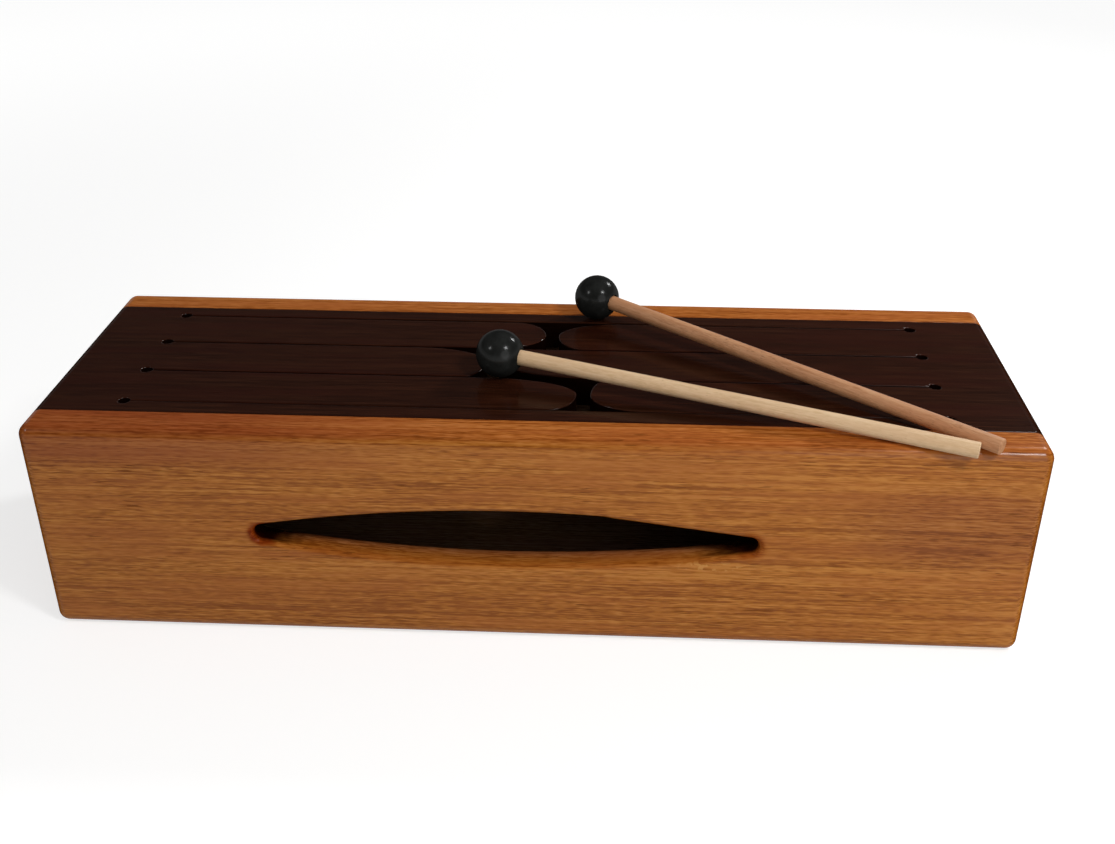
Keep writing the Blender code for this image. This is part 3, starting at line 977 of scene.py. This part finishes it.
@dataclass
class TonguePlate:
    """The dark plate: its fixed frame and the tongues cut in it."""

    box: Box
    finish: WoodFinish
    rows: tuple[TongueRow, ...] = (
        TongueRow("back", 1, 0.006, (0.018, 0.027), (0.035, 0.015)),
        TongueRow("middle", 0, -0.024, (0.038, 0.010), (0.010, 0.056)),
        TongueRow("front", -1, 0.0255, (0.048, 0.014), (0.009, 0.027)),
    )
    rim_width: float = 0.0115
    root_margin: float = 0.044
    slit_width: float = 0.0012
    front_slit_width: float = 0.0006
    tip_gap: float = 0.007
    drill_radius: float = 0.003
    drill_steps: int = 12
    tip_steps: int = 32
    cut_ease: float = 0.0007
    cut_steps: int = 3
    bend_length: float = 0.060
    bend_cuts: int = 6

    def __post_init__(self) -> None:
        """Builds the finish and works out the places that the frame and the tongues share."""
        self.material = self.finish.material()
        self.seat = self.box.seat
        self.root_x = self.box.length / 2 - self.root_margin
        self.outer_slit = self.box.width / 2 - self.box.side_thickness - self.rim_width
        self.pitch = 2 * self.outer_slit / len(self.rows)
        half_slit = self.slit_width / 2
        self.tongue_half = self.pitch / 2 - half_slit
        self.root_half = self.pitch / 2 - self.drill_radius
        self.notch = math.asin(half_slit / self.drill_radius)
        self.notch_x = self.root_x - self.drill_radius * math.cos(self.notch)

    def end_block(self, shape: BMesh, end: End) -> None:
        """Draws an end of the frame, with its halves of the drilled holes.

        Args:
            shape: the frame.
            end: which end.
        """
        side = end.value
        root = side * self.root_x
        pen = Pen(shape, root, self.seat, self.box.height)
        for slit in range(len(self.rows) + 1):
            middle = self.outer_slit - slit * self.pitch
            pen.line(root, middle + self.drill_radius)
            pen.arc(root, middle, -side * math.pi, 2 * self.drill_steps)
        pen.line(root, -self.seat)
        pen.line(side * self.box.length / 2, -self.seat)
        pen.line(side * self.box.length / 2, self.seat)
        pen.fill()

    def rim(self, shape: BMesh, wall: Wall) -> None:
        """Draws a long rim of the frame, beside an outer slit.

        Args:
            shape: the frame.
            wall: which rim.
        """
        way = wall.value
        half_slit = self.slit_width / 2
        if wall is Wall.FRONT:
            half_slit = self.front_slit_width - half_slit
        notch = math.asin(half_slit / self.drill_radius)
        turn = math.pi / 2 - notch
        slit = way * self.outer_slit
        pen = Pen(shape, -self.root_x, way * self.seat, self.box.height)
        pen.line(-self.root_x, slit + way * self.drill_radius)
        pen.arc(-self.root_x, slit, -way * turn, self.drill_steps)
        notch_x = self.root_x - self.drill_radius * math.cos(notch)
        pen.line(notch_x, slit + way * half_slit)
        pen.arc(self.root_x, slit, -way * turn, self.drill_steps)
        pen.line(self.root_x, way * self.seat)
        pen.fill()

    def frame(self) -> None:
        """Makes the plate's fixed frame."""
        shape = bmesh.new()
        for end in End:
            self.end_block(shape, end)
        for wall in Wall:
            self.rim(shape, wall)
        bmesh.ops.remove_doubles(shape, verts=shape.verts, dist=WELD)
        thicken(shape, self.box.plate_thickness)
        top = [edge for edge in shape.edges if is_level(edge, 2, self.box.height)]
        ends = [edge for edge in top if is_across(edge, self.box.length / 2)]
        ease(shape, ends, self.box.edge_radius, self.box.edge_steps)
        ease(shape, self.cut_edges(shape), self.cut_ease, self.cut_steps)
        piece = add_piece("plate_frame", shape, self.material, Slot.PLATE_WOOD, "tongue_plate")
        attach(piece, DRUM)

    def cut_edges(self, shape: BMesh) -> list[BMEdge]:
        """The upper sawn and drilled edges of a shape, without the tongues' roots.

        Args:
            shape: the frame or a tongue.

        Returns:
            The edges.
        """
        low = self.box.height - self.box.edge_radius - WELD
        return [
            edge
            for edge in shape.edges
            if edge.calc_face_angle(0) > SHARP_ANGLE
            and min(spot.co.z for spot in edge.verts) > low
            and not is_across(edge, self.root_x)
        ]

    def tongue(self, row: TongueRow, end: End) -> None:
        """Makes a tongue, cut across in steps near its root.

        Args:
            row: its row.
            end: the end that it grows from.
        """
        shape = bmesh.new()
        side = end.value
        back, front = row.shoulders(end)
        half = self.tongue_half
        middle = row.place * self.pitch
        tip = row.cut_x + side * self.tip_gap / 2
        root = side * self.root_x
        notch = side * (self.notch - math.pi / 2)
        quarter = side * math.pi / 2
        pen = Pen(shape, root, middle + self.root_half, self.box.height)
        pen.arc(root, middle + self.pitch / 2, notch, self.drill_steps)
        pen.line(tip + side * back, middle + half)
        pen.arc(tip + side * back, middle, quarter, self.tip_steps, (back / half, 1.0))
        pen.arc(tip + side * front, middle, quarter, self.tip_steps, (1.0, half / front))
        pen.line(side * self.notch_x, middle - half)
        pen.arc(root, middle - self.pitch / 2, notch, self.drill_steps)
        pen.fill()
        thicken(shape, self.box.plate_thickness)
        ease(shape, self.cut_edges(shape), self.cut_ease, self.cut_steps)
        for step in range(1, self.bend_cuts + 1):
            spot = (root - side * self.bend_length * step / self.bend_cuts, 0, 0)
            bmesh.ops.bisect_plane(shape, geom=whole(shape), dist=WELD, plane_co=spot, plane_no=(1, 0, 0))
        name = f"{row.name}_{end.label}"
        piece = add_piece(f"{name}_tongue", shape, self.material, Slot.PLATE_WOOD, f"tongue_{name}")
        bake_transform(piece)


@dataclass
class Mallet:
    """A mallet: a bored ball on a round handle, where the CAD mallet lies."""

    name: str
    handle_finish: WoodFinish
    handle_slot: Slot
    ball_finish: RubberFinish = RubberFinish()
    ball_radius: float = 0.0125
    socket_floor: float = 0.008
    mouth_ease: float = 0.0005
    handle_radius: float = 0.004
    handle_ease: float = 0.0007
    tail_reach: float = 0.242
    gap: float = 0.0003
    ball_steps: int = 48
    turned_steps: int = 72
    ease_steps: int = 5
    spot_digits: int = 5

    def __post_init__(self) -> None:
        """Finds the mallet's own frame, whose Z runs from the ball's middle to the tail."""
        self.body = f"mallet_{self.name}"
        self.floor = self.socket_floor - self.ball_radius
        self.tip = self.floor + self.gap
        handle = frame["nodes"][f"{self.body}_handle"].data
        spots = {tuple(round(value, self.spot_digits) for value in vertex.co) for vertex in handle.vertices}
        points = [Vector(spot) for spot in spots]
        middle = sum(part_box(f"{self.body}_handle"), Vector()) / 2
        ahead = middle - sum(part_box(f"{self.body}_head"), Vector()) / 2
        tails = [point for point in points if (point - middle).dot(ahead) > 0]
        way = (sum(tails, Vector()) / len(tails) - middle).normalized()
        centre = middle - way * (self.tail_reach + self.tip) / 2
        self.place = Matrix.Translation(centre) @ way.to_track_quat("Z", "Y").to_matrix().to_4x4()

    def turned(self, pen: Pen) -> BMesh:
        """Turns a profile of radius and height about the mallet's axis, and lays it in place.

        Args:
            pen: the pen that drew the profile.

        Returns:
            The turned shape.
        """
        shape = pen.shape
        upright = Matrix.Rotation(math.pi / 2, 3, "X")
        bmesh.ops.rotate(shape, cent=(0, 0, 0), matrix=upright, verts=shape.verts)
        turn = {"cent": (0, 0, 0), "axis": UP, "angle": 2 * math.pi, "steps": self.turned_steps}
        bmesh.ops.spin(shape, geom=[*shape.verts, *shape.edges], use_merge=True, **turn)
        bmesh.ops.transform(shape, matrix=self.place, verts=shape.verts)
        return shape

    def head(self) -> None:
        """Makes the ball, with a socket for the handle."""
        bore = self.handle_radius + self.gap
        mouth = math.asin((bore + self.mouth_ease) / self.ball_radius)
        brow = self.ball_radius * math.cos(mouth) - self.mouth_ease
        pen = Pen(bmesh.new(), 0, -self.ball_radius)
        pen.arc(0, 0, math.pi - mouth, self.ball_steps)
        pen.line(bore, brow).line(bore, self.floor).line(0, self.floor)
        name = f"{self.name}_ball"
        rubber = self.ball_finish.material()
        piece = add_piece(name, self.turned(pen), rubber, Slot.BALL_RUBBER, f"{self.body}_head")
        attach(piece, self.body)

    def handle(self) -> None:
        """Makes the round handle, with both ends eased."""
        narrow = self.handle_radius - self.handle_ease
        quarter = math.pi / 2
        pen = Pen(bmesh.new(), 0, self.tip)
        pen.line(narrow, self.tip)
        pen.arc(narrow, self.tip + self.handle_ease, quarter, self.ease_steps)
        pen.line(self.handle_radius, self.tail_reach - self.handle_ease)
        pen.arc(narrow, self.tail_reach - self.handle_ease, quarter, self.ease_steps)
        pen.line(0, self.tail_reach)
        wood = self.handle_finish.material(self.place @ Matrix.Rotation(-quarter, 4, "Y"))
        name = f"{self.name}_stick"
        piece = add_piece(name, self.turned(pen), wood, self.handle_slot, f"{self.body}_handle")
        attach(piece, self.body)


@dataclass(frozen=True)
class Lamp:
    """A round soft lamp: the way to it, and how bright it makes a white surface that faces it."""

    name: str
    toward: Triple
    level: float
    distance: float
    size: float

    def hang(self, target: Vector) -> None:
        """Hangs the lamp so that it shines on a target.

        Args:
            target: the target.
        """
        light = bpy.data.lights.new(self.name, "AREA")
        light.shape = "DISK"
        light.size = self.size
        light.energy = self.level * (math.pi * self.distance) ** 2
        lamp = bpy.data.objects.new(self.name, light)
        away = Vector(self.toward).normalized()
        lamp.location = target + away * self.distance
        lamp.rotation_mode = "QUATERNION"
        lamp.rotation_quaternion = away.to_track_quat("Z", "Y")
        bpy.context.scene.collection.objects.link(lamp)


@dataclass
class Studio:
    """A pale floor, soft lamps, the light of the room and the camera."""

    target: Vector
    lamps: tuple[Lamp, ...] = (
        Lamp("right_back_lamp", (0.60, 0.53, 0.60), 0.44, 1.2, 0.20),
        Lamp("right_front_lamp", (0.48, -0.47, 0.74), 0.35, 1.2, 0.20),
        Lamp("left_lamp", (-0.66, -0.40, 0.64), 0.12, 2.0, 0.30),
        Lamp("low_lamp", (0.48, -0.81, 0.32), 0.24, 1.1, 0.80),
    )
    floor_colour: Colour = (0.55, 0.55, 0.545)
    floor_roughness: float = 0.9
    floor_gloss: float = 0.1
    floor_glow: Span = (0.64, 0.82)
    glow_reach: Span = (0.45, 1.60)
    floor_half: float = 12.0
    floor_drop: float = 0.0003
    room_light: float = 0.21
    horizon: float = 0.92
    ceiling: float = 0.06
    horizon_rise: Span = (0.06, 0.30)
    eye: Triple = (0.0423, -0.6150, 0.4205)
    pitch: float = 0.5021
    yaw: float = 0.0516
    roll: float = 0.0012
    focal_pixels: float = 1285.6
    image_width: int = 1115
    sensor_width: float = 36
    near_clip: float = 0.01

    def floor(self) -> None:
        """Lays the pale floor."""
        shape = bmesh.new()
        place = Matrix.Translation((0, 0, -self.floor_drop))
        bmesh.ops.create_grid(shape, x_segments=1, y_segments=1, size=self.floor_half, matrix=place)
        recipe = MaterialRecipe("pale_floor", self.floor_colour)
        level = recipe.span(recipe.distance(recipe.own), *self.glow_reach, self.floor_glow)
        inputs = {
            "Base Color": opaque(self.floor_colour),
            "Roughness": self.floor_roughness,
            "Specular IOR Level": self.floor_gloss,
            "Emission Color": WHITE,
            "Emission Strength": recipe.product(recipe.seen(), level),
        }
        recipe.fill(recipe.surface, inputs)
        floor = add_object("floor", shape, recipe.material)

    def room(self) -> None:
        """Sets the light of the room: pale at the horizon and dim above."""
        world = bpy.data.worlds.new("room")
        bpy.context.scene.world = world
        world.use_nodes = True
        recipe = Recipe(world.node_tree)
        height = recipe.split(recipe.coordinates("Generated"))["Z"]
        view = recipe.span(height, *self.horizon_rise, (self.horizon, self.ceiling))
        inputs = {0: recipe.seen(), 2: self.room_light, 3: view}
        level = recipe.node("ShaderNodeMix", inputs, data_type="FLOAT").outputs[0]
        recipe.fill(recipe.tree.nodes["Background"], {"Strength": level, "Color": WHITE})

    def camera(self) -> None:
        """Puts the camera where the photograph was taken from."""
        data = bpy.data.cameras.new("camera")
        data.sensor_width = self.sensor_width
        data.lens = self.sensor_width * self.focal_pixels / self.image_width
        data.clip_start = self.near_clip
        camera = bpy.data.objects.new("camera", data)
        camera.matrix_world = (
            Matrix.Translation(self.eye)
            @ Matrix.Rotation(self.yaw, 4, "Z")
            @ Matrix.Rotation(math.pi / 2 - self.pitch, 4, "X")
            @ Matrix.Rotation(-self.roll, 4, "Z")
        )
        bpy.context.scene.collection.objects.link(camera)
        bpy.context.scene.camera = camera

    def build(self) -> None:
        """Sets the studio up."""
        bpy.context.scene.view_settings.view_transform = "Standard"
        self.camera()
        self.floor()
        self.room()
        for lamp in self.lamps:
            lamp.hang(self.target)


SIDE_WOOD = LipFinish(
    name="side_wood",
    light=(0.53, 0.208, 0.037),
    middle=(0.41, 0.137, 0.017),
    blush=(0.39, 0.114, 0.019),
    dark=(0.260, 0.072, 0.006),
    pore_colour=(0.14, 0.036, 0.003),
    grain=Grain(),
    pore_share=0.38,
    roughness=0.5,
    gloss=0.0,
    relief=0.00004,
    varnish=0.42,
    varnish_roughness=0.22,
    end_grain=(0.2470, 0.2494),
    bare_ends=(0.2455, 0.2475),
    crown=(0.1145, 0.1176),
    # The walls inside the box get painted shade.
    hollow=Hollow(half_x=0.2302, half_y=0.0642, low=0.0118, high=0.1022),
)
PLATE_WOOD = WoodFinish(
    name="plate_wood",
    light=(0.032, 0.0096, 0.0040),
    middle=(0.024, 0.0066, 0.0027),
    blush=(0.029, 0.0058, 0.0030),
    dark=(0.017, 0.0044, 0.0018),
    pore_colour=(0.011, 0.0030, 0.0014),
    grain=Grain((0.300, 0.030), (0.120, 0.012), (0.160, 0.0026), (0.060, 0.0020), (0.020, 0.0014)),
    pore_share=0.33,
    roughness=0.45,
    gloss=0.0,
    relief=0.000006,
    varnish=0.40,
    varnish_roughness=0.16,
    end_grain=(0.2470, 0.2494),
    bare_ends=(0.2440, 0.2465),
    # The sawn and drilled walls of the plate's slits and of the gap between the tips get painted shade.
    hollow=Hollow(half_x=0.2096, half_y=0.0700, low=0.1000, high=0.1185, facing=0.4),
    hollow_shade_tint=(0.20, 0.20, 0.24),
)
STICK_GRAIN = Grain(
    (0.200, 0.005), (0.060, 0.003), (0.050, 0.0012), (0.012, 0.0008), (0.004, 0.0006), (0.003, 0.0005)
)
PALE_WOOD = WoodFinish(
    name="pale_wood",
    light=(0.72, 0.51, 0.31),
    middle=(0.68, 0.465, 0.27),
    blush=(0.66, 0.43, 0.25),
    dark=(0.62, 0.41, 0.225),
    pore_colour=(0.47, 0.29, 0.145),
    grain=STICK_GRAIN,
    pore_share=0.34,
    roughness=0.5,
    gloss=0.25,
    relief=0.00004,
)
TAN_WOOD = replace(
    PALE_WOOD,
    name="tan_wood",
    light=(0.55, 0.29, 0.148),
    middle=(0.50, 0.245, 0.118),
    blush=(0.48, 0.215, 0.100),
    dark=(0.43, 0.195, 0.087),
    pore_colour=(0.22, 0.09, 0.04),
    pore_share=0.38,
)
DOWEL_WOOD = replace(
    PALE_WOOD,
    name="dowel_wood",
    light=(0.62, 0.45, 0.28),
    middle=(0.55, 0.38, 0.22),
    blush=(0.54, 0.36, 0.21),
    dark=(0.43, 0.26, 0.13),
    pore_colour=(0.30, 0.17, 0.08),
    roughness=0.6,
)


def dress_dowels() -> None:
    """Gives the CAD dowels, which keep their shape, their wood."""
    material = DOWEL_WOOD.material(Matrix.Rotation(math.pi / 2, 4, "Z"))
    for name, node in frame["nodes"].items():
        if name.startswith("dowel_"):
            node.data.materials.clear()
            node.data.materials.append(material)
            LOG.info("%s keeps its CAD shape", name)


def main() -> None:
    """Builds the drum, its mallets and the studio in order."""
    logging.basicConfig(level=logging.INFO, format="%(name)s: %(message)s")
    box = Box(SIDE_WOOD, SoundHole())
    for wall in Wall:
        box.side_board(wall)
    for end in End:
        box.end_board(end)
    box.bottom_board()
    dress_dowels()
    plate = TonguePlate(box, PLATE_WOOD)
    plate.frame()
    for row in plate.rows:
        for end in End:
            plate.tongue(row, end)
    for mallet in (Mallet("front", PALE_WOOD, Slot.PALE_WOOD), Mallet("back", TAN_WOOD, Slot.TAN_WOOD)):
        mallet.head()
        mallet.handle()
    Studio(target=Vector((0, 0, box.height / 2))).build()


if __name__ == "__main__":
    main()
